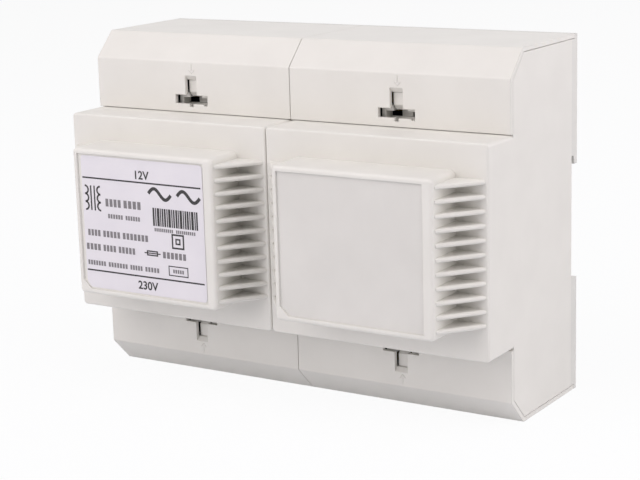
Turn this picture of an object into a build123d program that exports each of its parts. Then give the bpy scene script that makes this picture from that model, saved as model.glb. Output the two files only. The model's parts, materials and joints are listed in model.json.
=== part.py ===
from build123d import *
import os
from math import hypot, sqrt

# Two mains transformers in moulded cases, joined side by side, that clip on a 35 mm rail.
# Millimetres. X runs along the rail, -Y is the front and +Z is up.
# The origin lies on the rail's centre line, in the plane of the rail's front face, between the modules.
# A depth is counted forwards from that plane, so what lies behind it has a negative depth.

# Core: scrapless E and I sheets, whose legs and windows are fixed shares of the sheet's width
lamination_width = 66.0
stack_depth = 34.7
leg_width = lamination_width / 3
window_width = lamination_width / 6
window_height = lamination_width / 2
core_height = lamination_width * 5 / 6

# Fits
seat_gap = 0.05
fit_gap = 0.15
slide_gap = 0.3
cover_gap = 0.2
module_gap = 0.2

# Case walls
side_wall = 1.75
shelf_wall = 1.8
front_wall = 2.0
boss_wall = 2.0
base_plate = 2.4
cover_front_wall = 1.25
cover_end_wall = 1.2

# Room left inside the case
core_room = 0.5
core_seat = 2.35
coil_rear_room = 0.6
coil_room = 0.5
boss_room_deep = 4.1
boss_room_wide = 1.75
boss_room_high = 3.7
terminal_room = 22.7

# Rail and the grip on it
rail_width = 35.0
rail_flange = 1.0
rail_gap = 0.2
rear_land = 3.6
hook_height = 2.5
hook_flare = 0.5
rail_lead_in = 0.8
rear_lip = 1.5

# Covers
cover_depth = 39.2
cover_chamfer_deep = 7.45
cover_chamfer_high = 7.5
cover_edge_round = 0.8
cover_rib = 1.2
cover_rib_high = 2.5
slot_rise = 2.4
slot_bar_width = 11.7
slot_bar_high = 2.7
slot_leg_width = 4.1
slot_leg_high = 5.8
slot_ramp = 1.4
slot_notch_width = 1.35
slot_notch_high = 0.9
slot_corner_width = 1.3
slot_corner_high = 0.4

# Tongue of each cover, and the catch on the case's shelf that its hook goes behind
tongue_side_room = 0.35
tongue_set_back = 0.35
tongue_thick = 1.2
tongue_root_rise = 0.5
tongue_root_high = 1.4
tongue_rise = 0.8
tongue_bevel = 1.5
tongue_arm_high = 1.0
tongue_reach = 3.6
tongue_hook = 1.1
catch_thick = 1.5
catch_drop = 0.3
catch_bite = 0.9
catch_bevel = 0.7
bracket_set_back = 1.15
bracket_room = 0.2
bracket_post = 1.3
bracket_lap = 0.1
bracket_drop = 1.05
bracket_rise = 0.5

# Middle section, boss and fins
mid_corner = 1.2
mid_round = 0.6
boss_corner = 1.6
boss_round = 1.0
boss_draft = 1.0
panel_depth = 0.5
panel_margin = 1.8
panel_margin_right = 3.2
panel_cut = 2.7
fin_count = 11
fin_pitch = 3.91
fin_thick = 1.3
fin_edge = 0.4
fin_set_back = 0.3
fin_end_margin = 0.8
fin_sink = 0.5

# Pads and posts that hold the core
pad_size = 7.0
pad_inset = 1.2

# Coil
former_wall = 1.2
former_gap = 0.2
flange_margin = 0.3
tape_thick = 0.3
layer_gap = 0.05
coil_cut = 2.0

# Screws that close the case
screw_shank = 2.8
screw_head = 6.2
screw_head_high = 2.0
screw_slot = 1.0
screw_slot_deep = 0.9
screw_length = 11.0
screw_boss_wall = 2.25
screw_sides = 8
screw_hole_gap = 0.1
screw_sink = 2.5

# Terminals
block_width = 32.0
block_depth = 16.0
block_height = 13.5
block_rear = 8.0
block_wall = 1.6
pole_pitch = 14.0
clamp_width = 9.0
wire_mouth = 5.0
clamp_screw = 3.0
clamp_head = 5.6
clamp_head_high = 1.8
lead_width = 2.4
lead_thick = 0.8
lead_set_back = 1.9
lead_room = 1.7
wire_entry_width = 12.0
wire_entry_high = 6.0
wire_entry_set = 3.0

# Link between the modules
sleeve_bore = 7.6
sleeve_wall = 1.0
sleeve_flange = 1.6
sleeve_flange_high = 1.2
link_room = 0.7
link_width = 2.0
link_spacing = 3.6
link_socket = 3.0

# Rail latch
latch_width = 10.0
latch_flange = 2.1
latch_flange_deep = 0.6
latch_travel = 4.0
latch_overlap = 1.8
latch_cover_room = 0.6
latch_stop = 3.1
latch_nose_flat = 0.7
latch_nose_bevel = 1.4
latch_rear_set = 0.2
latch_foot_room = 0.4
latch_pull_width = 5.0
latch_pull_high = 1.6
latch_pull_rise = 1.8

# Label
label_thick = 0.15
label_gap = 0.5
label_gap_left = 1.2
label_corner = 1.0

# Sizes that follow
body_width = lamination_width + 2 * (fit_gap + side_wall)
inner_width = body_width - 2 * side_wall
module_pitch = body_width + module_gap
mid_half = core_height / 2 + core_room + shelf_wall
end_height = mid_half + terminal_room
overhang = window_width - coil_room
coil_rear = base_plate + coil_rear_room
core_rear = coil_rear + overhang
core_front = core_rear + stack_depth
coil_front = core_front + overhang
coil_middle = core_rear + stack_depth / 2
coil_half_width = leg_width / 2 + overhang
coil_depth = stack_depth + 2 * overhang
former_width = leg_width + 2 * (former_gap + former_wall)
former_depth = stack_depth + 2 * (former_gap + former_wall)
flange_top = window_height / 2 - former_gap
winding_half = flange_top - former_wall - layer_gap
winding_room = overhang - former_gap - former_wall - flange_margin
winding_thick = (winding_room - 2 * tape_thick - 4 * layer_gap) / 2
mid_front = core_front + seat_gap + core_seat + front_wall
boss_front = coil_front + boss_room_deep + boss_wall + panel_depth
boss_width = 2 * (coil_half_width + boss_room_wide + boss_wall)
boss_height = window_height + 2 * (boss_room_high + boss_wall)
panel_left = -boss_width / 2 + panel_margin
panel_right = boss_width / 2 - panel_margin_right
panel_half = boss_height / 2 - panel_margin
rail_top = rail_width / 2 + rail_gap
hook_clear = rail_flange + slide_gap
cover_line = end_height - cover_end_wall - fit_gap
cover_rear = rear_land - rear_lip - fit_gap
cover_low = mid_half + cover_gap
slot_bar_low = cover_low + slot_rise
slot_bar_top = slot_bar_low + slot_bar_high
slot_end = slot_bar_top + slot_leg_high
tongue_front = cover_depth - cover_front_wall - tongue_set_back
tongue_rear = tongue_front - tongue_thick
tongue_low = slot_bar_top + tongue_rise
tongue_half = slot_leg_width / 2 - tongue_side_room
tongue_hook_front = tongue_rear - tongue_reach
catch_half = slot_bar_width / 2 + bracket_lap
catch_top = slot_bar_low - catch_drop
catch_rear = tongue_hook_front + slide_gap
catch_front = catch_rear + catch_thick
shelf_rear = base_plate + seat_gap
screw_boss = screw_shank + 2 * (screw_hole_gap + screw_boss_wall)
screw_x = inner_width / 2 - screw_boss / 2 + fit_gap
screw_z = mid_half + screw_boss / 2 - fit_gap
hold_x = lamination_width / 2 - pad_inset - pad_size / 2
hold_z = core_height / 2 - pad_inset - pad_size / 2
block_low = mid_half + seat_gap
block_floor = block_low + block_wall
clamp_low = block_floor + seat_gap
clamp_high = block_low + block_height
clamp_middle = (clamp_low + clamp_high) / 2
clamp_rear = block_rear + block_wall + seat_gap
clamp_front = block_rear + block_depth - clamp_head_high - fit_gap
lead_depth = core_rear - lead_set_back
link_height = block_low + block_height / 2
sleeve_outer = sleeve_bore + 2 * sleeve_wall
sleeve_depth = shelf_rear + screw_length + link_room + sleeve_outer / 2 + sleeve_flange
groove_half = latch_width / 2 + latch_flange + slide_gap
latch_top = -rail_top - latch_stop
latch_low = -(end_height - cover_end_wall - latch_cover_room - latch_travel)
latch_foot = -(end_height - latch_foot_room)
wire_entry_x = groove_half + wire_entry_set + wire_entry_width / 2
wire_entry_z = cover_line - rear_lip - wire_entry_high / 2


# Planes; end = -1 gives the same view turned over about the Y axis, for what repeats at the bottom
def front(x, depth, end=1):
    return Plane(origin=(x, -depth, 0), x_dir=(end, 0, 0), z_dir=(0, -1, 0))


def side(x, end=1):
    return Plane(origin=(x, 0, 0), x_dir=(0, -1, 0), z_dir=(-end, 0, 0))


def level(x, depth, height, end=1):
    return Plane(origin=(x, -depth, end * height), x_dir=(end, 0, 0), z_dir=(0, 0, end))


def inner_chamfer(front_in, end_in, chamfer_in):
    """Corners, as depth and height, of a line that runs chamfer_in inside the cover's slanted edge."""
    slant = chamfer_in * hypot(cover_chamfer_deep, cover_chamfer_high)
    low = end_height - cover_chamfer_high + (cover_chamfer_high * front_in - slant) / cover_chamfer_deep
    back = cover_depth - (slant + cover_chamfer_deep * (cover_chamfer_high - end_in)) / cover_chamfer_high
    return (cover_depth - front_in, low), (back, end_height - end_in)


def four_corners(x, z):
    return Locations((x, z), (-x, z), (-x, -z), (x, -z))


def cut_rectangle(width, depth, cut, mode=Mode.ADD):
    """Rectangle with its corners cut off, drawn in the sketch that is open."""
    x = width / 2
    y = depth / 2
    half = [(x, y - cut), (x - cut, y), (-x + cut, y), (-x, y - cut)]
    Polygon(*half, *[(-px, -py) for px, py in half], align=None, mode=mode)


def poles(height):
    return Locations((pole_pitch / 2, height), (-pole_pitch / 2, height))


def link_pair(height):
    return Locations((sleeve_depth, height - link_spacing / 2), (sleeve_depth, height + link_spacing / 2))


# Case
def make_fin(x, way):
    """One fin at mid height, a triangle with a bevelled front edge that is sunk in the walls it joins."""
    root = boss_width / 2 - boss_wall / 2
    start = boss_front - boss_round - fin_set_back
    reach = body_width / 2 - fin_end_margin
    slope = (start - mid_front) / (reach - boss_width / 2)
    with BuildPart() as fin:
        with BuildSketch(level(x, mid_front, 0)):
            with BuildLine():
                Polyline(
                    (way * root, fin_sink),
                    (way * root, mid_front - start),
                    (way * boss_width / 2, mid_front - start),
                    (way * (reach + fin_sink / slope), fin_sink),
                    close=True,
                )
            make_face()
        extrude(amount=fin_thick / 2, both=True)
        chamfer(fin.edges().filter_by(Axis((0, 0, 0), (way, slope, 0))), fin_edge)
    return fin


def make_housing(x, inner_side):
    """Side walls, middle section, boss, fins and the seats for what the case holds."""
    fins = [make_fin(x, -1), make_fin(x, 1)]
    fin_places = [(0, 0, (row - (fin_count - 1) / 2) * fin_pitch) for row in range(fin_count)]
    inside_front = mid_front - front_wall
    wall_in = cover_front_wall + fit_gap
    low_corner, back_corner = inner_chamfer(wall_in, end_height - cover_line, wall_in)
    with BuildPart() as housing:
        # Middle section with rounded corners and front edges
        with BuildSketch(front(x, shelf_rear)):
            RectangleRounded(body_width, 2 * mid_half, mid_corner)
        extrude(amount=mid_front - shelf_rear)
        fillet(housing.faces().sort_by(Axis.Y)[0].edges(), mid_round)

        # Side walls, which follow the covers from inside
        for way in (-1, 1):
            with BuildSketch(side(x + way * (body_width - side_wall) / 2)):
                with BuildLine():
                    Polyline(
                        (0, -cover_line),
                        (back_corner[0], -back_corner[1]),
                        (low_corner[0], -low_corner[1]),
                        low_corner,
                        back_corner,
                        (0, cover_line),
                        close=True,
                    )
                make_face()
            extrude(amount=side_wall / 2, both=True)

        # Boss with draft, rounded at its corners and front edges
        with BuildSketch(front(x, inside_front)):
            RectangleRounded(boss_width, boss_height, boss_corner)
        extrude(amount=boss_front - inside_front, taper=boss_draft)
        fillet(housing.faces().sort_by(Axis.Y)[0].edges(), boss_round)

        # Fins that fill the corner between the boss and the middle section
        for fin in fins:
            with Locations(*fin_places):
                add(fin.part)

        # Core room and boss room
        with BuildSketch(front(x, 0)):
            Rectangle(inner_width, 2 * (mid_half - shelf_wall))
        extrude(amount=inside_front, mode=Mode.SUBTRACT)
        with BuildSketch(front(x, inside_front)):
            Rectangle(boss_width - 2 * boss_wall, boss_height - 2 * boss_wall)
        extrude(amount=boss_front - panel_depth - boss_wall - inside_front, mode=Mode.SUBTRACT)

        # Framed panel on the boss, with one corner cut off
        with BuildSketch(front(x, boss_front - panel_depth)):
            with BuildLine():
                Polyline(
                    (panel_left, panel_half),
                    (panel_left, -panel_half + panel_cut),
                    (panel_left + panel_cut, -panel_half),
                    (panel_right, -panel_half),
                    (panel_right, panel_half),
                    close=True,
                )
            make_face()
        extrude(amount=2 * panel_depth, mode=Mode.SUBTRACT)

        # Pads that the core is pressed against
        with BuildSketch(front(x, inside_front - core_seat)):
            with four_corners(hold_x, hold_z):
                Rectangle(pad_size, pad_size)
        extrude(amount=core_seat)

        # Drilled posts for the base screws, in the corners between shelf and side wall
        with BuildSketch(front(x, shelf_rear)):
            with four_corners(screw_x, screw_z):
                Rectangle(screw_boss, screw_boss)
                RegularPolygon(screw_shank / 2 + screw_hole_gap, screw_sides, mode=Mode.SUBTRACT)
        extrude(amount=screw_length)

        # Slots in both shelves for the leads
        with BuildSketch(front(x, lead_depth - lead_thick / 2 - lead_room)):
            Rectangle(pole_pitch + lead_width + 2 * lead_room, 2 * mid_half + shelf_wall)
        extrude(amount=lead_thick + 2 * lead_room, mode=Mode.SUBTRACT)

        # Catches that the covers hook behind, each with a bevelled top and a bracket at either side
        catch_foot = mid_half - shelf_wall / 2
        bracket_front = cover_depth - cover_front_wall - bracket_set_back
        bracket_low = slot_bar_top - bracket_drop
        bracket_top = slot_bar_top + bracket_rise
        bracket_in = slot_leg_width / 2 + bracket_room
        post_in = catch_half - bracket_post
        for end in (1, -1):
            with BuildSketch(side(x, end)):
                with BuildLine():
                    Polyline(
                        (catch_rear, catch_foot),
                        (catch_rear, catch_top),
                        (catch_front - catch_bevel, catch_top),
                        (catch_front, catch_top - catch_bevel),
                        (catch_front, catch_foot),
                        close=True,
                    )
                make_face()
            extrude(amount=catch_half, both=True)
            with BuildSketch(front(x, catch_rear, end)):
                for way in (-1, 1):
                    with BuildLine():
                        Polyline(
                            (way * catch_half, catch_foot),
                            (way * catch_half, bracket_top),
                            (way * bracket_in, bracket_top),
                            (way * bracket_in, bracket_low),
                            (way * post_in, bracket_low),
                            (way * post_in, catch_foot),
                            close=True,
                        )
                    make_face()
            extrude(amount=bracket_front - catch_rear)

        # Holes for the link sleeves, in the wall that faces the other module
        with BuildSketch(side(x + inner_side * (body_width - side_wall) / 2)):
            with Locations((sleeve_depth, link_height), (sleeve_depth, -link_height)):
                Rectangle(sleeve_outer + 2 * fit_gap, sleeve_outer + 2 * fit_gap)
        extrude(amount=side_wall, both=True, mode=Mode.SUBTRACT)
    return housing


def make_base(x):
    """Plate that closes the case from behind, with the posts that press the core forwards."""
    with BuildPart() as base:
        with BuildSketch(front(x, 0)):
            Rectangle(inner_width - 2 * fit_gap, 2 * cover_line)
        extrude(amount=base_plate)
        with BuildSketch(front(x, base_plate)):
            with four_corners(hold_x, hold_z):
                Rectangle(pad_size, pad_size)
        extrude(amount=core_rear - seat_gap - base_plate)

        # Screw holes, wire entries and the front of the latch's groove
        with BuildSketch(front(x, 0)):
            with four_corners(screw_x, screw_z):
                RegularPolygon(screw_shank / 2 + screw_hole_gap, screw_sides)
            with Locations((wire_entry_x, wire_entry_z), (-wire_entry_x, -wire_entry_z)):
                Rectangle(wire_entry_width, wire_entry_high)
        extrude(amount=base_plate, mode=Mode.SUBTRACT)
        with BuildSketch(front(x, 0)):
            with Locations((0, (latch_top + slide_gap - end_height) / 2)):
                Rectangle(2 * groove_half, latch_top + slide_gap + end_height)
        extrude(amount=latch_flange_deep + slide_gap, mode=Mode.SUBTRACT)
    return base


def make_rail_hook(x):
    """Strip behind the base above the rail, with the hook that the rail's upper flange goes behind."""
    with BuildPart() as hook:
        with BuildSketch(side(x)):
            with BuildLine():
                Polyline(
                    (0, rail_top),
                    (-hook_clear, rail_top),
                    (-hook_clear - hook_flare, rail_top - hook_height),
                    (-rear_land, rail_top - hook_height),
                    (-rear_land, end_height),
                    (rear_lip - rear_land, end_height),
                    (rear_lip - rear_land, cover_line),
                    (0, cover_line),
                    close=True,
                )
            make_face()
        extrude(amount=body_width / 2, both=True)
        with BuildSketch(front(x, -rear_land)):
            with Locations((wire_entry_x, wire_entry_z)):
                Rectangle(wire_entry_width, wire_entry_high)
            with Locations((screw_x, screw_z), (-screw_x, screw_z)):
                RegularPolygon(screw_shank / 2 + screw_hole_gap, screw_sides)
        extrude(amount=rear_land, mode=Mode.SUBTRACT)
        with BuildSketch(front(x, -rear_land)):
            with Locations((screw_x, screw_z), (-screw_x, screw_z)):
                Circle(screw_head / 2 + fit_gap)
        extrude(amount=screw_sink, mode=Mode.SUBTRACT)
    return hook


def make_latch_guide(x):
    """Strip behind the base below the rail, with a slot and a wider groove in which the latch slides."""
    with BuildPart() as guide:
        with BuildSketch(side(x)):
            with BuildLine():
                Polyline(
                    (0, -rail_top),
                    (0, -cover_line),
                    (rear_lip - rear_land, -cover_line),
                    (rear_lip - rear_land, -end_height),
                    (-rear_land, -end_height),
                    (-rear_land, -rail_top - rail_lead_in),
                    close=True,
                )
            make_face()
        extrude(amount=body_width / 2, both=True)
        with BuildSketch(front(x, -rear_land)):
            with Locations((-wire_entry_x, -wire_entry_z)):
                Rectangle(wire_entry_width, wire_entry_high)
            with Locations((screw_x, -screw_z), (-screw_x, -screw_z)):
                RegularPolygon(screw_shank / 2 + screw_hole_gap, screw_sides)
        extrude(amount=rear_land, mode=Mode.SUBTRACT)
        with BuildSketch(front(x, -rear_land)):
            with Locations((screw_x, -screw_z), (-screw_x, -screw_z)):
                Circle(screw_head / 2 + fit_gap)
        extrude(amount=screw_sink, mode=Mode.SUBTRACT)

        # Slot open to the rear, and the wider groove in front of it
        with BuildSketch(front(x, -rear_land)):
            with Locations((0, -(end_height + rail_top) / 2)):
                Rectangle(latch_width + 2 * slide_gap, end_height - rail_top)
        extrude(amount=rear_land - hook_clear + slide_gap, mode=Mode.SUBTRACT)
        with BuildSketch(front(x, -hook_clear - slide_gap)):
            with Locations((0, (latch_top + slide_gap - end_height) / 2)):
                Rectangle(2 * groove_half, latch_top + slide_gap + end_height)
        extrude(amount=hook_clear + slide_gap, mode=Mode.SUBTRACT)
    return guide


def make_cover(x, end):
    """Clip-on cover over one row of terminals; both covers of a module are one moulding."""
    low_corner, back_corner = inner_chamfer(cover_front_wall, cover_end_wall, cover_front_wall)
    rib_front = cover_front_wall + cover_rib_high
    rib_end = cover_end_wall + cover_rib_high
    rib_low, rib_back = inner_chamfer(rib_front, rib_end, rib_front)
    rib_rear = base_plate + slide_gap
    wall_rear = cover_depth - cover_front_wall
    root_low = slot_end + tongue_root_rise
    arm_low = tongue_low - tongue_bevel
    hook_low = catch_top - catch_bite
    with BuildPart() as cover:
        # Front wall, slanted edge and end wall
        with BuildSketch(side(x, end)):
            with BuildLine():
                Polyline(
                    (cover_depth, cover_low),
                    (cover_depth, end_height - cover_chamfer_high),
                    (cover_depth - cover_chamfer_deep, end_height),
                    (-cover_rear, end_height),
                    (-cover_rear, end_height - cover_end_wall),
                    back_corner,
                    low_corner,
                    (wall_rear, cover_low),
                    close=True,
                )
            make_face()
        extrude(amount=body_width / 2, both=True)
        lengthwise = cover.edges().filter_by(Axis.X)
        low_slant = lengthwise.sort_by_distance((x, -cover_depth, end * (end_height - cover_chamfer_high)))[0]
        top_slant = lengthwise.sort_by_distance((x, cover_chamfer_deep - cover_depth, end * end_height))[0]
        fillet([low_slant, top_slant], cover_edge_round)

        # Ribs that set the cover between the side walls
        for way in (-1, 1):
            with BuildSketch(side(x + way * (inner_width / 2 - slide_gap - cover_rib / 2), end)):
                with BuildLine():
                    Polyline(
                        (wall_rear, cover_low),
                        low_corner,
                        back_corner,
                        (rib_rear, end_height - cover_end_wall),
                        (rib_rear, end_height - rib_end),
                        rib_back,
                        rib_low,
                        (cover_depth - rib_front, cover_low),
                        close=True,
                    )
                make_face()
            extrude(amount=cover_rib / 2, both=True)

        # T shaped release slot, with one notch in the middle and one at a corner
        with BuildSketch(front(x, wall_rear, end)):
            with Locations((0, (slot_bar_low + slot_bar_top) / 2)):
                Rectangle(slot_bar_width, slot_bar_high)
            with Locations((0, slot_bar_low - slot_notch_high / 2)):
                Rectangle(slot_notch_width, slot_notch_high)
            with Locations(((slot_bar_width - slot_corner_width) / 2, slot_bar_low - slot_corner_high / 2)):
                Rectangle(slot_corner_width, slot_corner_high)
            with Locations((0, (slot_bar_top + slot_end - slot_ramp) / 2)):
                Rectangle(slot_leg_width, slot_leg_high - slot_ramp)
        extrude(amount=cover_front_wall, mode=Mode.SUBTRACT)

        # Ramp at the end of the slot's leg
        with BuildSketch(side(x, end)):
            with BuildLine():
                Polyline(
                    (wall_rear, slot_end - slot_ramp),
                    (cover_depth, slot_end),
                    (cover_depth, slot_end - slot_ramp),
                    close=True,
                )
            make_face()
        extrude(amount=slot_leg_width / 2, both=True, mode=Mode.SUBTRACT)

        # Spring tongue behind the slot's leg, bevelled below, with an arm and a hook at its free end
        with BuildSketch(side(x, end)):
            with BuildLine():
                Polyline(
                    (cover_depth - cover_front_wall / 2, root_low),
                    (tongue_front, root_low),
                    (tongue_front, tongue_low),
                    (tongue_front - tongue_bevel, arm_low),
                    (tongue_hook_front, arm_low),
                    (tongue_hook_front, hook_low),
                    (tongue_hook_front - tongue_hook, hook_low),
                    (tongue_hook_front - tongue_hook, arm_low + tongue_arm_high),
                    (tongue_rear, arm_low + tongue_arm_high),
                    (tongue_rear, root_low + tongue_root_high),
                    (cover_depth - cover_front_wall / 2, root_low + tongue_root_high),
                    close=True,
                )
            make_face()
        extrude(amount=tongue_half, both=True)
    return cover


# Transformer
def make_core(x):
    """Stack of E and I sheets with its two windows."""
    window_x = (leg_width + window_width) / 2
    with BuildPart() as core:
        with BuildSketch(front(x, core_rear)):
            Rectangle(lamination_width, core_height)
            with Locations((window_x, 0), (-window_x, 0)):
                Rectangle(window_width, window_height, mode=Mode.SUBTRACT)
        extrude(amount=stack_depth)
    return core


def make_bobbin(x):
    """Tube round the core's middle leg with a flange at each end of the coil."""
    with BuildPart() as bobbin:
        with BuildSketch(level(x, coil_middle, 0)):
            cut_rectangle(former_width, former_depth, coil_cut)
        extrude(amount=flange_top, both=True)
        for end in (1, -1):
            with BuildSketch(level(x, coil_middle, flange_top, end)):
                cut_rectangle(2 * coil_half_width, coil_depth, coil_cut)
            extrude(amount=-former_wall)
        with BuildSketch(level(x, coil_middle, 0)):
            Rectangle(leg_width + 2 * former_gap, stack_depth + 2 * former_gap)
        extrude(amount=flange_top, both=True, mode=Mode.SUBTRACT)
    return bobbin


def make_wraps(x, grows, thick):
    """Closed wraps about the bobbin's tube, each starting at its own distance from the tube."""
    corner = 2 - sqrt(2)
    with BuildPart() as wraps:
        for grow in grows:
            outer = grow + thick
            with BuildSketch(level(x, coil_middle, 0)):
                cut_rectangle(former_width + 2 * outer, former_depth + 2 * outer, coil_cut + corner * outer)
                cut_rectangle(
                    former_width + 2 * grow, former_depth + 2 * grow, coil_cut + corner * grow, mode=Mode.SUBTRACT
                )
            extrude(amount=winding_half, both=True)
    return wraps


# Terminals
def make_terminal_block(x, end, inner_side):
    """Insulating block with two open pockets, lead holes and sockets for the link bars."""
    with BuildPart() as block:
        with BuildSketch(front(x, block_rear, end)):
            with Locations((0, block_low + block_height / 2)):
                Rectangle(block_width, block_height)
        extrude(amount=block_depth)
        with BuildSketch(front(x, block_rear + block_wall, end)):
            with poles(block_floor + block_height / 2):
                Rectangle(clamp_width + 2 * fit_gap, block_height)
        extrude(amount=block_depth, mode=Mode.SUBTRACT)
        with BuildSketch(level(x, lead_depth, block_low, end)):
            with poles(0):
                Rectangle(lead_width + 2 * fit_gap, lead_thick + 2 * fit_gap)
        extrude(amount=block_wall, mode=Mode.SUBTRACT)
        with BuildSketch(side(x + inner_side * block_width / 2, end)):
            with link_pair(link_height):
                Rectangle(link_width + 2 * fit_gap, link_width + 2 * fit_gap)
        extrude(amount=link_socket, both=True, mode=Mode.SUBTRACT)
    return block


def make_clamps(x, end):
    """Wire clamps, each with a wire mouth at its outer end and a screw hole from the front."""
    with BuildPart() as clamps:
        with BuildSketch(front(x, clamp_rear, end)):
            with poles(clamp_middle):
                Rectangle(clamp_width, clamp_high - clamp_low)
        extrude(amount=clamp_front - clamp_rear)
        with BuildSketch(level(x, (clamp_rear + clamp_front) / 2, clamp_high, end)):
            with poles(0):
                Rectangle(wire_mouth, wire_mouth)
        extrude(amount=-(clamp_high - clamp_low - block_wall), mode=Mode.SUBTRACT)
        with BuildSketch(front(x, clamp_front, end)):
            with poles(clamp_middle):
                RegularPolygon(clamp_screw / 2 + screw_hole_gap, screw_sides)
        extrude(amount=-(clamp_front - clamp_rear) / 2, mode=Mode.SUBTRACT)
    return clamps


def make_clamp_screws(x, end):
    """Slotted hexagon screws of the wire clamps."""
    with BuildPart() as screws:
        with BuildSketch(front(x, clamp_front, end)):
            with poles(clamp_middle):
                RegularPolygon(clamp_head / 2, 6)
        extrude(amount=clamp_head_high)
        with BuildSketch(front(x, clamp_front, end)):
            with poles(clamp_middle):
                RegularPolygon(clamp_screw / 2, screw_sides)
        extrude(amount=-(clamp_front - clamp_rear) / 2 + wire_mouth / 4)
        with BuildSketch(front(x, clamp_front + clamp_head_high, end)):
            with poles(clamp_middle):
                Rectangle(clamp_head, screw_slot)
        extrude(amount=-screw_slot_deep, mode=Mode.SUBTRACT)
    return screws


def make_leads(x, end):
    """Flat leads from the bobbin's flange to the wire clamps."""
    with BuildPart() as leads:
        with BuildSketch(level(x, lead_depth, flange_top, end)):
            with poles(0):
                Rectangle(lead_width, lead_thick)
        extrude(amount=clamp_low - flange_top)
    return leads


# Fastenings
def make_base_screws(x):
    """Four slotted screws that hold the base to the case from behind."""
    seat = -(rear_land - screw_sink)
    with BuildPart() as screws:
        with BuildSketch(front(x, seat)):
            with four_corners(screw_x, screw_z):
                Circle(screw_head / 2)
        extrude(amount=-screw_head_high)
        with BuildSketch(front(x, seat)):
            with four_corners(screw_x, screw_z):
                RegularPolygon(screw_shank / 2, screw_sides)
        extrude(amount=shelf_rear + screw_length - screw_boss_wall - seat)
        with BuildSketch(front(x, seat - screw_head_high)):
            with four_corners(screw_x, screw_z):
                Rectangle(screw_head, screw_slot)
        extrude(amount=screw_slot_deep, mode=Mode.SUBTRACT)
    return screws


def make_latch(x):
    """Sliding latch with a bevelled nose behind the rail, a guide flange and a foot to pull."""
    rear = -(rear_land - latch_rear_set)
    foot_front = -(cover_rear + slide_gap)
    nose = -(rail_width / 2 - latch_overlap)
    with BuildPart() as latch:
        with BuildSketch(side(x)):
            with BuildLine():
                Polyline(
                    (-hook_clear, latch_low),
                    (foot_front, latch_low),
                    (foot_front, latch_foot),
                    (rear, latch_foot),
                    (rear, nose - latch_nose_bevel),
                    (-hook_clear - latch_nose_flat, nose),
                    (-hook_clear, nose),
                    close=True,
                )
            make_face()
        extrude(amount=latch_width / 2, both=True)
        with BuildSketch(front(x, -hook_clear)):
            with Locations((0, (latch_top + latch_low) / 2)):
                Rectangle(latch_width + 2 * latch_flange, latch_top - latch_low)
        extrude(amount=hook_clear + latch_flange_deep)
        with BuildSketch(front(x, rear)):
            with Locations((0, latch_foot + latch_pull_rise)):
                Rectangle(latch_pull_width, latch_pull_high)
        extrude(amount=foot_front - rear, mode=Mode.SUBTRACT)
    return latch


# Link between the modules
def make_link_sleeves():
    """Flanged square sleeves through the two walls between the modules."""
    half = module_gap / 2 + side_wall + seat_gap
    flange = sleeve_outer + 2 * sleeve_flange
    centres = [(sleeve_depth, link_height), (sleeve_depth, -link_height)]
    with BuildPart() as sleeves:
        with BuildSketch(side(0)):
            with Locations(*centres):
                Rectangle(sleeve_outer, sleeve_outer)
        extrude(amount=half, both=True)
        for way in (-1, 1):
            with BuildSketch(side(way * (half + sleeve_flange_high / 2))):
                with Locations(*centres):
                    Rectangle(flange, flange)
            extrude(amount=sleeve_flange_high / 2, both=True)
        with BuildSketch(side(0)):
            with Locations(*centres):
                Rectangle(sleeve_bore, sleeve_bore)
        extrude(amount=half + sleeve_flange_high, both=True, mode=Mode.SUBTRACT)
    return sleeves


def make_link_bars():
    """Bars through the sleeves that join the terminal blocks of the two modules."""
    reach = (module_pitch - block_width) / 2 + link_socket - seat_gap
    with BuildPart() as bars:
        with BuildSketch(side(0)):
            for height in (link_height, -link_height):
                with link_pair(height):
                    Rectangle(link_width, link_width)
        extrude(amount=reach, both=True)
    return bars


def make_rating_label(x):
    """Label in the framed panel, cut at the corner like the panel."""
    left = panel_left + label_gap_left
    right = panel_right - label_gap
    top = panel_half - label_gap
    cut = panel_cut + label_gap
    with BuildPart() as label:
        with BuildSketch(front(x, boss_front - panel_depth)) as outline:
            with BuildLine():
                Polyline(
                    (left, top),
                    (left, -panel_half + cut - label_gap_left),
                    (panel_left + cut - label_gap, -top),
                    (right, -top),
                    (right, top),
                    close=True,
                )
            make_face()
            fillet(outline.vertices(), label_corner)
        extrude(amount=label_thick)
    return label


# Export
def save(piece, name):
    piece.part.label = name
    export_step(piece.part, f"parts/{name}.step")


os.makedirs("parts", exist_ok=True)
for module, way in (("left", -1), ("right", 1)):
    x = way * module_pitch / 2
    save(make_housing(x, -way), f"{module}_housing")
    save(make_base(x), f"{module}_base")
    save(make_rail_hook(x), f"{module}_rail_hook")
    save(make_latch_guide(x), f"{module}_latch_guide")
    save(make_base_screws(x), f"{module}_base_screws")
    save(make_latch(x), f"{module}_rail_latch")
    save(make_core(x), f"{module}_core")
    save(make_bobbin(x), f"{module}_bobbin")
    tape_starts = [2 * layer_gap + winding_thick, 4 * layer_gap + 2 * winding_thick + tape_thick]
    secondary_start = 3 * layer_gap + winding_thick + tape_thick
    save(make_wraps(x, [layer_gap], winding_thick), f"{module}_primary_winding")
    save(make_wraps(x, [secondary_start], winding_thick), f"{module}_secondary_winding")
    save(make_wraps(x, tape_starts, tape_thick), f"{module}_winding_tape")
    for circuit, end in (("secondary", 1), ("primary", -1)):
        place = "top" if end > 0 else "bottom"
        save(make_cover(x, end), f"{module}_{place}_cover")
        save(make_terminal_block(x, end, -way), f"{module}_{circuit}_block")
        save(make_clamps(x, end), f"{module}_{circuit}_clamps")
        save(make_clamp_screws(x, end), f"{module}_{circuit}_screws")
        save(make_leads(x, end), f"{module}_{circuit}_leads")
save(make_link_sleeves(), "link_sleeves")
save(make_link_bars(), "link_bars")
save(make_rating_label(-module_pitch / 2), "rating_label")
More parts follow.
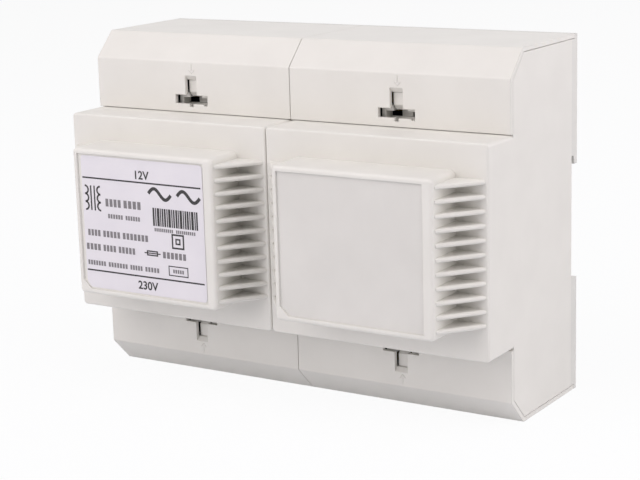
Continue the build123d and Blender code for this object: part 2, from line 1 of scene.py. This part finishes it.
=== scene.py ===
import itertools
import json
import math

import bmesh
import bpy
from mathutils import Matrix, Vector


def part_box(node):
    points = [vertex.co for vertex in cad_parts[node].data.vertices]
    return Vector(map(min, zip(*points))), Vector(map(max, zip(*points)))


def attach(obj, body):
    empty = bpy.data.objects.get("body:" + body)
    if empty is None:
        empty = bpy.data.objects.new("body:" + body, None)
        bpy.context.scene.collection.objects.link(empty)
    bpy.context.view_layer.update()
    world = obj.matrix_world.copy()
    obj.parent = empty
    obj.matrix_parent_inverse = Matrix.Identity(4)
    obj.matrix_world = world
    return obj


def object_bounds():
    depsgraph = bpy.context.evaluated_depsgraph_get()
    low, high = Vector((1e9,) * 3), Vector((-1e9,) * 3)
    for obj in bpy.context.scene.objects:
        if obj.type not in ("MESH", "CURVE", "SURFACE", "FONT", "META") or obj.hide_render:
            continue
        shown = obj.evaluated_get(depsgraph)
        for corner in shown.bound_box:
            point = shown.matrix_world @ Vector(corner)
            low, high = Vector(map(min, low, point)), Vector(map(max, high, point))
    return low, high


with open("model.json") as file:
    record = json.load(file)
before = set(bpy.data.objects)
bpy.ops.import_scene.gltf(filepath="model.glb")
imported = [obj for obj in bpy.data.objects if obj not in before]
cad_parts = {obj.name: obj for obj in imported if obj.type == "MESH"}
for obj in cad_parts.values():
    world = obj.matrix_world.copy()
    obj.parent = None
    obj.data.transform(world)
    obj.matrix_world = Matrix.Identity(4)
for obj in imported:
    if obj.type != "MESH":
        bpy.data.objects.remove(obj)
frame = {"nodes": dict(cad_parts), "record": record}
cad_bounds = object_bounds()
mm = 0.001

# Camera, as fitted to the photograph: a point on the object, the turn about it and the way back from it
camera_aim = Vector((0, -26.4, 0)) * mm
camera_azimuth = math.radians(32.536)
camera_elevation = math.radians(13.036)
camera_roll = math.radians(-1.685)
camera_right = 0.758 * mm
camera_up = -8.040 * mm
camera_distance = 518.27 * mm
camera_near = 10 * mm
# Blender takes these two in millimetres
sensor_width = 36.0
focal_length = 98.25

# Darkest and lightest tone of each surface as it looks, in parts from 0 to 255
case_tones = (220, 218, 212), (224, 222, 216)
panel_tones = (211, 209, 204), (216, 214, 209)
base_tones = (212, 211, 206), (217, 216, 211)
latch_tones = (52, 52, 54), (60, 60, 62)
bobbin_tones = (36, 36, 38), (42, 42, 44)
block_tones = (50, 50, 52), (58, 58, 60)
steel_tones = (150, 150, 146), (186, 186, 182)
brass_tones = (176, 146, 84), (204, 174, 108)
copper_tones = (170, 150, 134), (196, 178, 162)
sheet_tones = (58, 60, 66), (96, 98, 104)
wire_tones = (96, 44, 18), (172, 92, 44)
tape_tones = (196, 168, 62), (214, 188, 84)
label_tones = (220, 217, 222), (224, 221, 225)
black_tones = (30, 28, 30), (44, 42, 44)
grey_tones = (112, 109, 112), (126, 123, 126)
floor_colour = (236, 238, 243)

# Lamp colours, as shares of red, green and blue light
warm_light = (1.0, 0.945, 0.955)
cool_light = (0.82, 0.85, 1.0)

# Surfaces: where a pattern reaches its two tones, the moulded finish and the sizes of sheet and wire
tone_places = 0.3, 0.7
cloud_size = 14 * mm
moulded_edge = 0.25 * mm
edge_samples = 6
plastic_gloss, film_gloss = 0.4, 0.35
plastic_swing, metal_swing = 0.06, 0.08
sheet_thick = 0.5 * mm
wire_thick = 0.8 * mm


# Patterns
def linear(colour):
    """Colour for a shader from one written as it looks, by the sRGB curve."""
    parts = [c / 255 for c in colour]
    return [p / 12.92 if p <= 0.04045 else ((p + 0.055) / 1.055) ** 2.4 for p in parts] + [1]


def start_material(name):
    material = bpy.data.materials.new(name)
    material.use_nodes = True
    return material, material.node_tree, material.node_tree.nodes["Principled BSDF"]


def coordinates(tree, stretch):
    """Places on the object in metres, multiplied by a factor along each axis."""
    place = tree.nodes.new("ShaderNodeTexCoord")
    mapping = tree.nodes.new("ShaderNodeMapping")
    mapping.inputs["Scale"].default_value = stretch
    tree.links.new(place.outputs["Object"], mapping.inputs["Vector"])
    return mapping.outputs["Vector"]


def noise(tree, size, detail=2.0, stretch=(1, 1, 1)):
    """Cloudy pattern with spots of about one size."""
    node = tree.nodes.new("ShaderNodeTexNoise")
    node.inputs["Scale"].default_value = 1 / size
    node.inputs["Detail"].default_value = detail
    tree.links.new(coordinates(tree, stretch), node.inputs["Vector"])
    return node.outputs["Fac"]


def bands(tree, size, direction, wander):
    """Even bands of one size along an axis, as stacked sheets and wound wire show them."""
    radians_per_metre = 20
    node = tree.nodes.new("ShaderNodeTexWave")
    node.bands_direction = direction
    node.inputs["Scale"].default_value = 2 * math.pi / (radians_per_metre * size)
    node.inputs["Distortion"].default_value = wander
    tree.links.new(coordinates(tree, (1, 1, 1)), node.inputs["Vector"])
    return node.outputs["Fac"]


def mixed(tree, factor, tones):
    """Colour that goes from the dark tone to the light one with a factor."""
    ramp = tree.nodes.new("ShaderNodeValToRGB")
    for element, place, colour in zip(ramp.color_ramp.elements, tone_places, tones):
        element.position = place
        element.color = linear(colour)
    tree.links.new(factor, ramp.inputs["Fac"])
    return ramp.outputs["Color"]


def spread(tree, factor, low, high):
    """Number that goes from low to high with a factor."""
    node = tree.nodes.new("ShaderNodeMapRange")
    node.inputs["To Min"].default_value = low
    node.inputs["To Max"].default_value = high
    tree.links.new(factor, node.inputs["Value"])
    return node.outputs["Result"]


def combined(tree, operation, first, second):
    """Number that a calculation gives for two factors."""
    node = tree.nodes.new("ShaderNodeMath")
    node.operation = operation
    tree.links.new(first, node.inputs[0])
    tree.links.new(second, node.inputs[1])
    return node.outputs["Value"]


def inside(tree, low, high):
    """1 between two corners of a box in the object's own places, and 0 outside."""
    place = tree.nodes.new("ShaderNodeTexCoord")
    split = tree.nodes.new("ShaderNodeSeparateXYZ")
    tree.links.new(place.outputs["Object"], split.inputs["Vector"])
    along = []
    for axis in range(3):
        near = tree.nodes.new("ShaderNodeMath")
        near.operation = "COMPARE"
        near.inputs[1].default_value = (low[axis] + high[axis]) / 2
        near.inputs[2].default_value = (high[axis] - low[axis]) / 2
        tree.links.new(split.outputs[axis], near.inputs[0])
        along.append(near.outputs["Value"])
    return combined(tree, "MULTIPLY", combined(tree, "MULTIPLY", along[0], along[1]), along[2])


def chosen(tree, factor, without, within):
    """One colour where the factor is 0 and another where it is 1."""
    # The node's sockets for colours, which share their names with those for numbers
    colour_a, colour_b, colour_result = 6, 7, 2
    node = tree.nodes.new("ShaderNodeMix")
    node.data_type = "RGBA"
    tree.links.new(factor, node.inputs["Factor"])
    tree.links.new(without, node.inputs[colour_a])
    tree.links.new(within, node.inputs[colour_b])
    return node.outputs[colour_result]


def dress(tree, shader, colour, roughness):
    """Gives a shader its colour and roughness from patterns."""
    tree.links.new(colour, shader.inputs["Base Color"])
    tree.links.new(roughness, shader.inputs["Roughness"])


def relief(tree, shader, height, depth, strength, edge=0.0):
    """Fine unevenness of a surface, with edges that look rounded by the given radius."""
    node = tree.nodes.new("ShaderNodeBump")
    node.inputs["Distance"].default_value = depth
    node.inputs["Strength"].default_value = strength
    tree.links.new(height, node.inputs["Height"])
    tree.links.new(node.outputs["Normal"], shader.inputs["Normal"])
    if edge:
        rounding = tree.nodes.new("ShaderNodeBevel")
        rounding.samples = edge_samples
        rounding.inputs["Radius"].default_value = edge
        tree.links.new(rounding.outputs["Normal"], node.inputs["Normal"])


# Materials
def moulded(name, tones, roughness, grain, panel=None):
    """Moulded plastic: cloudy tone, spark-eroded grain and a satin shine that varies a little."""
    material, tree, shader = start_material(name)
    fine = noise(tree, grain, detail=3.0)
    cloud = noise(tree, cloud_size, detail=3.0)
    colour = mixed(tree, cloud, tones)
    if panel:
        colour = chosen(tree, inside(tree, *panel), colour, mixed(tree, cloud, panel_tones))
    dress(tree, shader, colour, spread(tree, fine, roughness - plastic_swing, roughness + plastic_swing))
    relief(tree, shader, fine, depth=0.02 * mm, strength=0.35, edge=moulded_edge)
    shader.inputs["Specular IOR Level"].default_value = plastic_gloss
    return material


def metal(name, tones, roughness, stretch):
    """Metal with drawing marks, which are long on the axis where stretch is under 1."""
    material, tree, shader = start_material(name)
    marks = noise(tree, 0.6 * mm, detail=3.0, stretch=stretch)
    shine = spread(tree, marks, roughness - metal_swing, roughness + metal_swing)
    dress(tree, shader, mixed(tree, marks, tones), shine)
    relief(tree, shader, marks, depth=0.01 * mm, strength=0.4)
    shader.inputs["Metallic"].default_value = 1.0
    return material


def sheets(name, tones):
    """Edges of varnished steel sheets, stacked from the rear to the front."""
    material, tree, shader = start_material(name)
    stack = bands(tree, sheet_thick, "Y", wander=0.4)
    shine = spread(tree, noise(tree, 3 * mm), low=0.32, high=0.5)
    dress(tree, shader, mixed(tree, stack, tones), shine)
    relief(tree, shader, stack, depth=0.05 * mm, strength=0.6)
    shader.inputs["Metallic"].default_value = 0.6
    return material


def wire(name, tones):
    """Turns of enamelled copper wire, wound about the upright axis."""
    material, tree, shader = start_material(name)
    turns = bands(tree, wire_thick, "Z", wander=0.3)
    shine = spread(tree, noise(tree, 4 * mm), low=0.22, high=0.38)
    dress(tree, shader, mixed(tree, turns, tones), shine)
    relief(tree, shader, turns, depth=0.2 * mm, strength=0.8)
    shader.inputs["Metallic"].default_value = 0.8
    return material


def tape(name, tones):
    """Polyester tape with the turns below it showing faintly."""
    material, tree, shader = start_material(name)
    turns = bands(tree, wire_thick, "Z", wander=0.6)
    shine = spread(tree, turns, low=0.25, high=0.4)
    dress(tree, shader, mixed(tree, noise(tree, 5 * mm), tones), shine)
    relief(tree, shader, turns, depth=0.05 * mm, strength=0.5)
    return material


def film(name, tones):
    """Matt label film with a slight cloudiness."""
    material, tree, shader = start_material(name)
    fine = noise(tree, 0.25 * mm)
    shine = spread(tree, fine, low=0.5, high=0.62)
    dress(tree, shader, mixed(tree, noise(tree, 9 * mm, detail=3.0), tones), shine)
    relief(tree, shader, fine, depth=0.006 * mm, strength=0.3)
    shader.inputs["Specular IOR Level"].default_value = film_gloss
    return material


def ink(name, tones):
    """Printed ink, a little uneven and paler where it lies thin."""
    material, tree, shader = start_material(name)
    shine = spread(tree, noise(tree, 0.3 * mm), low=0.42, high=0.55)
    dress(tree, shader, mixed(tree, noise(tree, 0.4 * mm, detail=3.0), tones), shine)
    return material


# The label lies in one framed panel; the other panel, of the same size, is bare and a little darker
label_low, label_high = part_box("rating_label")
label_centre = (label_low + label_high) / 2
panel_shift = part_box("right_housing")[0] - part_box("left_housing")[0]
panel_spare = Vector((1.3, 0, 1.3)) * mm
panel_skin = Vector((0, 0.1, 0)) * mm
panel_low = Vector((label_low.x, label_high.y, label_low.z)) + panel_shift - panel_spare - panel_skin
panel_high = label_high + panel_shift + panel_spare + panel_skin
bare_panel = panel_low, panel_high

materials = {
    "case_plastic": moulded("case_moulding", case_tones, roughness=0.46, grain=0.35 * mm, panel=bare_panel),
    "cover_plastic": moulded("cover_moulding", case_tones, roughness=0.44, grain=0.35 * mm),
    "base_plastic": moulded("base_moulding", base_tones, roughness=0.5, grain=0.4 * mm),
    "latch_plastic": moulded("latch_moulding", latch_tones, roughness=0.42, grain=0.3 * mm),
    "bobbin_plastic": moulded("bobbin_moulding", bobbin_tones, roughness=0.4, grain=0.3 * mm),
    "block_plastic": moulded("block_moulding", block_tones, roughness=0.45, grain=0.3 * mm),
    "screw_steel": metal("zinc_plated_steel", steel_tones, roughness=0.34, stretch=(0.2, 1, 1)),
    "clamp_brass": metal("bright_brass", brass_tones, roughness=0.3, stretch=(1, 1, 0.2)),
    "lead_copper": metal("tinned_copper", copper_tones, roughness=0.34, stretch=(1, 1, 0.1)),
    "core_steel": sheets("stacked_sheets", sheet_tones),
    "winding_copper": wire("enamelled_wire", wire_tones),
    "winding_tape": tape("polyester_tape", tape_tones),
    "label_film": film("label_film", label_tones),
}
for part in frame["record"]["subparts"]:
    node = frame["nodes"][part["node"]]
    node.data.materials.clear()
    node.data.materials.append(materials[part["material_slot"]])


# Pieces that the scene adds
def add_object(name, data):
    made = bpy.data.objects.new(name, data)
    bpy.context.scene.collection.objects.link(made)
    return made


def add_piece(name, data, material, place=(0, 0, 0)):
    """Piece of one material that rides on the case."""
    data.materials.clear()
    data.materials.append(material)
    piece = add_object(name, data)
    piece.location = place
    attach(piece, "case")


def finished_mesh(name, mesh):
    """Mesh data from a closed bmesh, with its faces turned outwards."""
    bmesh.ops.recalc_face_normals(mesh, faces=mesh.faces)
    data = bpy.data.meshes.new(name)
    mesh.to_mesh(data)
    mesh.free()
    return data


# Print on the label: its shapes are in millimetres, to the right and up from the label's centre
ink_thick = 0.03 * mm
rule_left, rule_right, rule_thick = -21.6, 21.2, 0.45
top_rule, bottom_rule = 13.3, -14.6
voltage_height = 2.4


def printed(name, strips, material):
    """Flat ink shapes, each a strip of four-sided fields between two rows of points."""
    mesh = bmesh.new()
    for left, right, closed in strips:
        rows = [[mesh.verts.new((u * mm, 0, v * mm)) for u, v in row] for row in (left, right)]
        count = len(left) if closed else len(left) - 1
        faces = []
        for i in range(count):
            j = (i + 1) % len(left)
            faces.append(mesh.faces.new((rows[0][i], rows[0][j], rows[1][j], rows[1][i])))
        raised = bmesh.ops.extrude_face_region(mesh, geom=faces)["geom"]
        for vertex in raised:
            if isinstance(vertex, bmesh.types.BMVert):
                vertex.co.y -= ink_thick
    place = (label_centre.x, label_low.y, label_centre.z)
    add_piece(name, finished_mesh(name, mesh), material, place)


def bar(left, low, right, high):
    """Filled box."""
    return [(left, high), (right, high)], [(left, low), (right, low)], False


def rule(left, right, v, thick):
    """Level line about a height."""
    return bar(left, v - thick / 2, right, v + thick / 2)


def outline(u, v, width, height, thick):
    """Frame about a point, whose outer edge has the given size."""
    corners = (-1, 1), (1, 1), (1, -1), (-1, -1)
    outer = [(u + a * width / 2, v + b * height / 2) for a, b in corners]
    inner = [(u + a * (width / 2 - thick), v + b * (height / 2 - thick)) for a, b in corners]
    return outer, inner, True


def line_along(points, thick):
    """Line of even width along points."""
    left, right = [], []
    for i, (u, v) in enumerate(points):
        before = points[max(i - 1, 0)]
        after = points[min(i + 1, len(points) - 1)]
        du, dv = after[0] - before[0], after[1] - before[1]
        length = math.hypot(du, dv)
        side = (-dv / length * thick / 2, du / length * thick / 2)
        left.append((u + side[0], v + side[1]))
        right.append((u - side[0], v - side[1]))
    return left, right, False


def sine(left, middle, length, height, thick):
    """One period of a sine wave."""
    steps = 24
    turn = 2 * math.pi / steps
    points = [(left + length * i / steps, middle + height * math.sin(i * turn)) for i in range(steps + 1)]
    return line_along(points, thick)


def coil(u, low, radius, loops, way, thick):
    """Row of half circles, one above the other, that bulge to one side."""
    steps = 10
    turns = [math.pi * i / steps - math.pi / 2 for i in range(steps + 1)]
    made = []
    for loop in range(loops):
        centre = low + radius * (2 * loop + 1)
        points = [(u + way * radius * math.cos(t), centre + radius * math.sin(t)) for t in turns]
        made.append(line_along(points, thick))
    return made


def words(left, low, lengths, height):
    """Line of plain blocks, in groups, that stands in for words."""
    usual_pitch, gap_share, space = 0.68 * height, 0.3, 1.1
    made = []
    for length in lengths:
        count = max(1, round(length / usual_pitch))
        pitch = length / (count - gap_share)
        for i in range(count):
            start = left + i * pitch
            made.append(bar(start, low, start + (1 - gap_share) * pitch, low + height))
        left += length + space
    return made


def stripes(left, low, right, high):
    """Field of upright stripes in a plain repeating order of widths."""
    widths = (0.62, 0.38, 0.82, 0.38, 0.52)
    gaps = (0.27, 0.3, 0.23, 0.27)
    made = []
    for width, gap in zip(itertools.cycle(widths), itertools.cycle(gaps)):
        if left + width > right:
            return made
        made.append(bar(left, low, left + width, high))
        left += width + gap


def transformer_symbol():
    """Two coils that bulge towards each other, with the core's two lines between them."""
    core_low, core_high, core_thick = 3.6, 11.0, 0.5
    coil_low, radius, loops, coil_thick = 3.7, 1.2, 3, 0.55
    made = [bar(u - core_thick / 2, core_low, u + core_thick / 2, core_high) for u in (-18.7, -17.4)]
    for u, way in ((-20.9, 1), (-15.2, -1)):
        made += coil(u, coil_low, radius, loops, way, coil_thick)
    return made


def current_symbols():
    """Waves for alternating current, one for each winding."""
    middle, length, height, thick = 10.4, 8.0, 1.5, 1.0
    return [sine(left, middle, length, height, thick) for left in (2.6, 12.8)]


def insulation_symbol():
    """Square within a square, for protective insulation."""
    u, v = 12.4, -3.0
    return [outline(u, v, side, side, thick) for side, thick in ((4.4, 0.5), (1.8, 0.45))]


def fuse_symbol():
    """Box with a line through it."""
    u, v = 3.0, -7.3
    width, height, thick = 4.0, 1.6, 0.4
    line_length, line_thick = 5.8, 0.32
    return [
        outline(u, v, width, height, thick),
        rule(u - line_length / 2, u + line_length / 2, v, line_thick),
    ]


symbols = [rule(rule_left, rule_right, v, rule_thick) for v in (top_rule, bottom_rule)]
symbols += transformer_symbol()
symbols += current_symbols()
symbols += insulation_symbol()
symbols += fuse_symbol()
symbols.append(outline(u=12.1, v=-11.8, width=7.0, height=3.0, thick=0.3))
symbols += stripes(left=3.8, low=1.0, right=20.0, high=6.3)

# Rows that stand in for words: left end, foot, lengths of the groups and height
word_rows = (
    (-13.4, 5.2, (5.6, 6.2), 2.3),
    (-12.7, 1.7, (5.4, 5.2), 1.3),
    (4.2, -0.6, (6.6, 6.8), 1.0),
    (-20.6, -4.1, (4.6, 6.2, 9.2), 1.9),
    (-21.4, -8.4, (5.2, 4.6, 6.0), 1.9),
    (6.8, -8.3, (8.2,), 1.9),
    (-21.2, -13.0, (6.6, 7.0, 4.4, 5.0), 1.4),
    (10.2, -12.4, (3.8,), 1.1),
)
blocks = [block for row in word_rows for block in words(*row)]

black_ink = ink("black_ink", black_tones)
printed("label_symbols", symbols, black_ink)
printed("label_text_bars", blocks, ink("grey_ink", grey_tones))


def voltage(name, body, u, low):
    """Voltage beside the terminals that carry it."""
    capital_share = 0.7
    added_weight = 0.07 * mm
    curve = bpy.data.curves.new(name, "FONT")
    curve.body = body
    curve.align_x = "CENTER"
    curve.size = voltage_height / capital_share * mm
    curve.offset = added_weight
    curve.extrude = ink_thick / 2
    text = add_object(name + "_text", curve)
    bpy.context.view_layer.update()
    data = bpy.data.meshes.new_from_object(text)
    bpy.data.objects.remove(text)
    data.name = name
    data.transform(Matrix.Rotation(math.pi / 2, 4, "X"))
    place = (label_centre.x + u * mm, label_low.y - ink_thick / 2, label_centre.z + low * mm)
    add_piece(name, data, black_ink, place)


voltage("low_voltage_mark", "12V", u=0.2, low=14.3)
voltage("mains_voltage_mark", "230V", u=0.8, low=-18.4)

# Raised arrows on the covers, which point to the release slots, in millimetres: a ridge for each line,
# sideways from the cover's middle and away from the middle of the height
arrow_side, arrow_wing = 0.4, 0.9
arrow_start, arrow_neck, arrow_tip = 44.3, 42.5, 41.5
arrow_width, arrow_rise, arrow_sink = 0.6, 0.06, 0.03


def release_arrows():
    """Three ridges on each cover, whose feet lie a little below the cover's surface."""
    tip = (arrow_side, arrow_tip)
    lines = [((arrow_side, arrow_start), (arrow_side, arrow_neck))]
    lines += [((arrow_side + way * arrow_wing, arrow_neck), tip) for way in (-1, 1)]
    mesh = bmesh.new()
    for cover in ("left_top_cover", "right_top_cover", "left_bottom_cover", "right_bottom_cover"):
        low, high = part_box(cover)
        middle = (low.x + high.x) / 2
        end = 1 if low.z > 0 else -1
        for (x1, z1), (x2, z2) in lines:
            length = math.hypot(x2 - x1, z2 - z1) / (arrow_width / 2)
            side = ((z1 - z2) / length, (x2 - x1) / length)
            rows = []
            for x, z in ((x1, z1), (x2, z2)):
                row = []
                for way, rise in ((-1, -arrow_sink), (0, arrow_rise), (1, -arrow_sink)):
                    place = (x + way * side[0], end * (z + way * side[1]))
                    row.append(mesh.verts.new((middle + place[0] * mm, low.y - rise * mm, place[1] * mm)))
                rows.append(row)
            for i in range(3):
                j = (i + 1) % 3
                mesh.faces.new((rows[0][i], rows[0][j], rows[1][j], rows[1][i]))
            mesh.faces.new(rows[0])
            mesh.faces.new(reversed(rows[1]))
    data = finished_mesh("release_arrows", mesh)
    add_piece("release_arrows", data, materials["cover_plastic"])


release_arrows()

# Floor, light and camera: lengths in metres and powers in watts
floor_half = 1.5
floor_gap = 0.02 * mm
floor_white = 0.93
world_strength = 0.25
wide_lamp, narrow_lamp = 1.0, 0.6


def seen_ray(tree):
    """1 for what the camera sees, directly, mirrored or through glass."""
    path = tree.nodes.new("ShaderNodeLightPath")
    seen = combined(tree, "MAXIMUM", path.outputs["Is Camera Ray"], path.outputs["Is Glossy Ray"])
    return combined(tree, "MAXIMUM", seen, path.outputs["Is Transmission Ray"])


def stage_material(name, colour, white_share):
    """White where it is seen directly or mirrored, with part of the shadow, and plain elsewhere."""
    material = bpy.data.materials.new(name)
    material.use_nodes = True
    tree = material.node_tree
    tree.nodes.clear()
    output = tree.nodes.new("ShaderNodeOutputMaterial")
    plain = tree.nodes.new("ShaderNodeBsdfDiffuse")
    plain.inputs["Color"].default_value = linear(colour)
    white = tree.nodes.new("ShaderNodeEmission")
    white.inputs["Strength"].default_value = 1.0
    mix = tree.nodes.new("ShaderNodeMixShader")
    tree.links.new(spread(tree, seen_ray(tree), low=0.0, high=white_share), mix.inputs["Fac"])
    tree.links.new(plain.outputs["BSDF"], mix.inputs[1])
    tree.links.new(white.outputs["Emission"], mix.inputs[2])
    tree.links.new(mix.outputs["Shader"], output.inputs["Surface"])
    return material


def make_floor():
    """Square just below the object."""
    height = cad_bounds[0].z - floor_gap
    ends = (-1, -1), (1, -1), (1, 1), (-1, 1)
    data = bpy.data.meshes.new("floor")
    data.from_pydata([(x * floor_half, y * floor_half, height) for x, y in ends], [], [(0, 1, 2, 3)])
    data.materials.append(stage_material("pale_floor", floor_colour, floor_white))
    floor = add_object("floor", data)


def make_world():
    """White where it is seen, and a weak even light elsewhere."""
    world = bpy.data.worlds.new("studio")
    world.use_nodes = True
    bpy.context.scene.world = world
    tree = world.node_tree
    ground = tree.nodes["Background"]
    ground.inputs["Color"].default_value = (1, 1, 1, 1)
    level = spread(tree, seen_ray(tree), low=world_strength, high=1.0)
    tree.links.new(level, ground.inputs["Strength"])


def make_lamp(name, place, size, power, colour=warm_light):
    """Square lamp that points at the place the camera aims at."""
    data = bpy.data.lights.new(name, "AREA")
    data.size = size
    data.energy = power
    data.color = colour
    lamp = add_object(name, data)
    lamp.location = place
    lamp.rotation_euler = (camera_aim - Vector(place)).to_track_quat("-Z", "Y").to_euler()


def make_camera():
    sin_turn, cos_turn = math.sin(camera_azimuth), math.cos(camera_azimuth)
    sin_rise, cos_rise = math.sin(camera_elevation), math.cos(camera_elevation)
    sin_roll, cos_roll = math.sin(camera_roll), math.cos(camera_roll)
    back = Vector((sin_turn * cos_rise, -cos_turn * cos_rise, sin_rise))
    level_right = Vector((cos_turn, sin_turn, 0))
    level_up = back.cross(level_right)
    right = cos_roll * level_right + sin_roll * level_up
    up = cos_roll * level_up - sin_roll * level_right
    data = bpy.data.cameras.new("camera")
    data.sensor_fit = "HORIZONTAL"
    data.sensor_width = sensor_width
    data.lens = focal_length
    data.clip_start = camera_near
    camera = add_object("camera", data)
    camera.matrix_world = Matrix((right, up, back)).transposed().to_4x4()
    camera.location = camera_aim + right * camera_right + up * camera_up + back * camera_distance
    bpy.context.scene.camera = camera


make_floor()
make_world()
make_lamp("key_lamp", (-0.55, -0.8, 0.65), wide_lamp, power=7.3)
make_lamp("top_lamp", (0, -0.1, 1.1), wide_lamp, power=1.35, colour=cool_light)
make_lamp("high_right_lamp", (0.6, -0.3, 0.85), wide_lamp, power=4.0)
make_lamp("right_lamp", (1.1, -0.05, 0.3), wide_lamp, power=5.0)
make_lamp("low_left_lamp", (-0.6, -0.95, 0.05), narrow_lamp, power=1.8)
make_lamp("rear_top_lamp", (0.1, 0.85, 0.9), wide_lamp, power=1.3, colour=cool_light)
make_lamp("rear_lamp", (0.35, 1.15, 0.1), narrow_lamp, power=2.6)
make_camera()
bpy.context.scene.view_settings.view_transform = "Standard"
